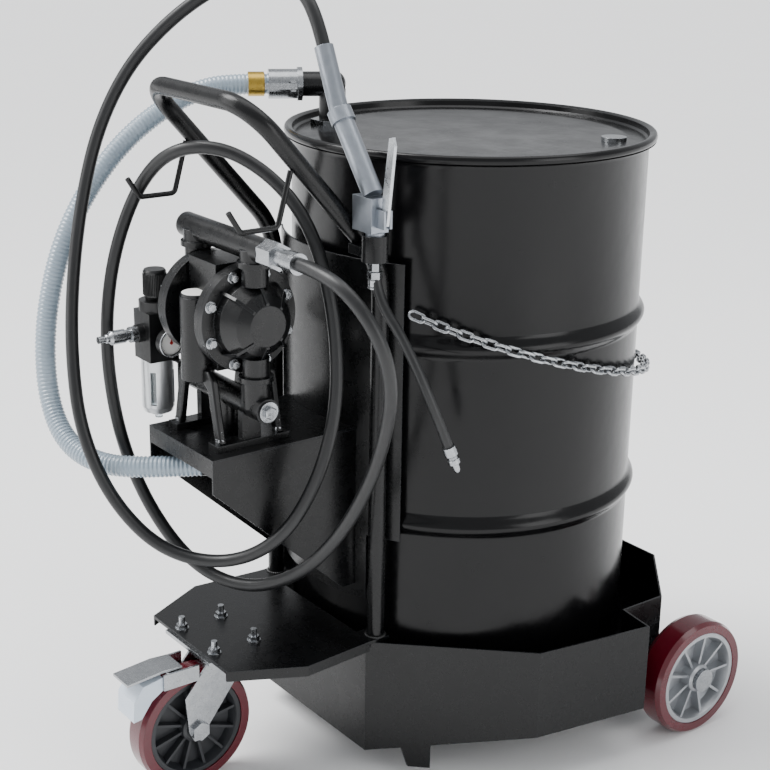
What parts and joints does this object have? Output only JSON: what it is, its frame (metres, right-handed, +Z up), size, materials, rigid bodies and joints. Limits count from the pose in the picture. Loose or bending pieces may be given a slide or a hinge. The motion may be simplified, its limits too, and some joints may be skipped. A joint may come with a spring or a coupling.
{
  "type": "mobile gear oil pump",
  "caption": "Mobile gear-oil rig: an air-operated double-diaphragm pump on a steel drum trolley, with its drum, suction and delivery hoses, air regulator and control gun.",
  "frame": {"origin": "on the ground, under the axis of the drum", "axes": "+Z up; +Y from the handle and caster end to the pair of fixed wheels; +X to the side of the delivery hose and control gun"},
  "size_m": [0.7706, 0.992, 1.2561],
  "materials": {
    "cart_black": "gloss powder coat",
    "drum_black": "gloss enamel",
    "pump_black": "satin coating",
    "zinc_plate": "bright zinc plate",
    "amber_band": "yellow passivated",
    "clear_hose": "clear wire-wound",
    "black_hose": "satin",
    "burgundy_tread": "cast polyurethane",
    "silver_core": "silver enamel",
    "grey_core": "moulded",
    "pale_pad": "moulded",
    "black_plastic": "moulded",
    "inner_rubber": "moulded",
    "clear_bowl": "clear moulded",
    "bowl_steel": "satin",
    "needle_red": "enamel",
    "gun_alloy": "die cast, tumbled",
    "gun_lever": "zinc plate",
    "spout_black": "satin"
  },
  "bodies": {
    "cart": {"air_coupler": "zinc_plate", "air_line": "black_hose", "camlock_coupler": "zinc_plate", "caster_bolts": "zinc_plate", "caster_mount": "zinc_plate", "caster_plate": "cart_black", "delivery_hose": "black_hose", "drum_bungs": "zinc_plate", "drum_chain": "zinc_plate", "drum_cradle": "cart_black", "drum_head": "drum_black", "drum_shell": "drum_black", "gauge_case": "black_plastic", "gun_body": "gun_alloy", "gun_holder": "cart_black", "gun_spout": "spout_black", "gun_swivel": "gun_alloy", "handle_frame": "cart_black", "hose_clamp": "amber_band", "hose_hooks": "zinc_plate", "pump_air_section": "pump_black", "pump_air_valve": "pump_black", "pump_cap_bolts": "zinc_plate", "pump_cap_left": "pump_black", "pump_cap_right": "pump_black", "pump_foot_bolts": "zinc_plate", "pump_manifold_bottom": "pump_black", "pump_manifold_top": "pump_black", "pump_muffler": "black_plastic", "pump_outlet_fitting": "zinc_plate", "pump_shelf": "cart_black", "pump_valve_balls": "inner_rubber", "rear_axle": "zinc_plate", "regulator_body": "black_plastic", "regulator_bracket": "cart_black", "shelf_gussets": "cart_black", "suction_elbow": "pump_black", "suction_hose": "clear_hose", "suction_tube": "pump_black", "tray_floor": "cart_black", "tray_wall": "cart_black"},
    "caster_swivel": {"caster_fork": "zinc_plate", "caster_axle": "zinc_plate", "caster_brake_cover": "pale_pad"},
    "caster_pedal": {"caster_pedal": "zinc_plate"},
    "caster_wheel": {"caster_wheel_tread": "burgundy_tread", "caster_wheel_core": "grey_core"},
    "wheel_right": {"wheel_right_tread": "burgundy_tread", "wheel_right_core": "silver_core"},
    "wheel_left": {"wheel_left_tread": "burgundy_tread", "wheel_left_core": "silver_core"},
    "pump_shuttle": {"pump_diaphragms": "inner_rubber"},
    "pressure_knob": {"regulator_knob": "black_plastic"},
    "bowl": {"filter_bowl": "clear_bowl", "filter_bowl_guard": "bowl_steel"},
    "needle": {"gauge_needle": "needle_red"},
    "trigger": {"gun_trigger": "gun_lever"},
    "coupler_lever_right": {"camlock_lever_right": "zinc_plate"},
    "coupler_lever_left": {"camlock_lever_left": "zinc_plate"}
  },
  "joints": [
    {"name": "caster_swivel_turn", "type": "hinge", "parent": "cart", "child": "caster_swivel", "pos_m": [0, -0.487, 0.2], "axis": [0, 0, 1], "continuous": true},
    {"name": "caster_wheel_roll", "type": "hinge", "parent": "caster_swivel", "child": "caster_wheel", "pos_m": [0, -0.541, 0.1], "axis": [1, 0, 0], "continuous": true},
    {"name": "caster_pedal_press", "type": "hinge", "parent": "caster_swivel", "child": "caster_pedal", "pos_m": [0, -0.575, 0.202], "axis": [1, 0, 0], "range_deg": [0, 4]},
    {"name": "wheel_right_roll", "type": "hinge", "parent": "cart", "child": "wheel_right", "pos_m": [0.35, 0.232, 0.1], "axis": [1, 0, 0], "continuous": true},
    {"name": "wheel_left_roll", "type": "hinge", "parent": "cart", "child": "wheel_left", "pos_m": [-0.35, 0.232, 0.1], "axis": [1, 0, 0], "continuous": true},
    {"name": "pump_shuttle_stroke", "type": "slide", "parent": "cart", "child": "pump_shuttle", "axis": [1, 0, 0], "range_m": [-0.005, 0.005]},
    {"name": "pressure_knob_turn", "type": "hinge", "parent": "cart", "child": "pressure_knob", "pos_m": [-0.142, -0.502, 0.78], "axis": [0, 0, 1], "range_deg": [-360, 360]},
    {"name": "bowl_bayonet", "type": "hinge", "parent": "cart", "child": "bowl", "pos_m": [-0.142, -0.502, 0.6], "axis": [0, 0, 1], "range_deg": [0, 45]},
    {"name": "gauge_needle_sweep", "type": "hinge", "parent": "cart", "child": "needle", "pos_m": [-0.095, -0.502, 0.7], "axis": [1, 0, 0], "range_deg": [-130, 130]},
    {"name": "trigger_squeeze", "type": "hinge", "parent": "cart", "child": "trigger", "pos_m": [0.219, -0.332, 0.93], "axis": [0, -1, 0], "range_deg": [0, 9], "stiffness_Nm_per_rad": 1, "springref_deg": -11.46},
    {"name": "coupler_lever_right_open", "type": "hinge", "parent": "cart", "child": "coupler_lever_right", "pos_m": [-0.19004, -0.2134, 1.059], "axis": [0, 0, 1], "range_deg": [0, 75]},
    {"name": "coupler_lever_left_open", "type": "hinge", "parent": "cart", "child": "coupler_lever_left", "pos_m": [-0.24215, -0.18447, 1.059], "axis": [0, 0, -1], "range_deg": [0, 75]}
  ]
}
